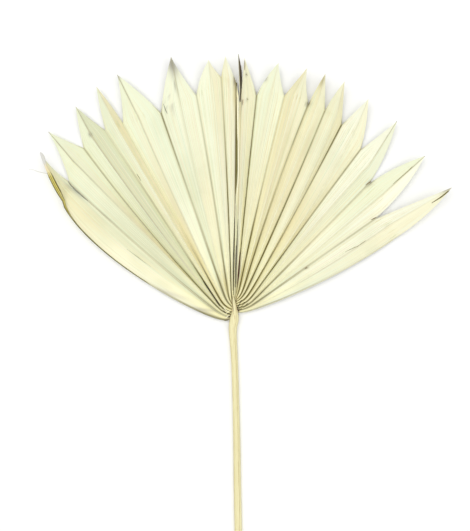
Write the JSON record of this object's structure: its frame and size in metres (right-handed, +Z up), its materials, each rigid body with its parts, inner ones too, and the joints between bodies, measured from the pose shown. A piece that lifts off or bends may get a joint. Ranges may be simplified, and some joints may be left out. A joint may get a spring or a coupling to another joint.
{
  "type": "fan palm leaf",
  "caption": "Dried fan palm leaf: a stiff pleated blade cut to pointed segments on a slim stalk, lying flat with its ribbed underside up.",
  "frame": {"origin": "middle of the leaf's bounding box, on the surface that it lies on", "axes": "+Y along the stalk towards the tips of the fan, +Z up from the surface, +X to the right with the tips pointing away"},
  "size_m": [0.3476, 0.45, 0.0162],
  "materials": {
    "dried_leaf": "dry, bleached cream, matt"
  },
  "bodies": {
    "root": {"palm_leaf": "dried_leaf"}
  },
  "joints": []
}
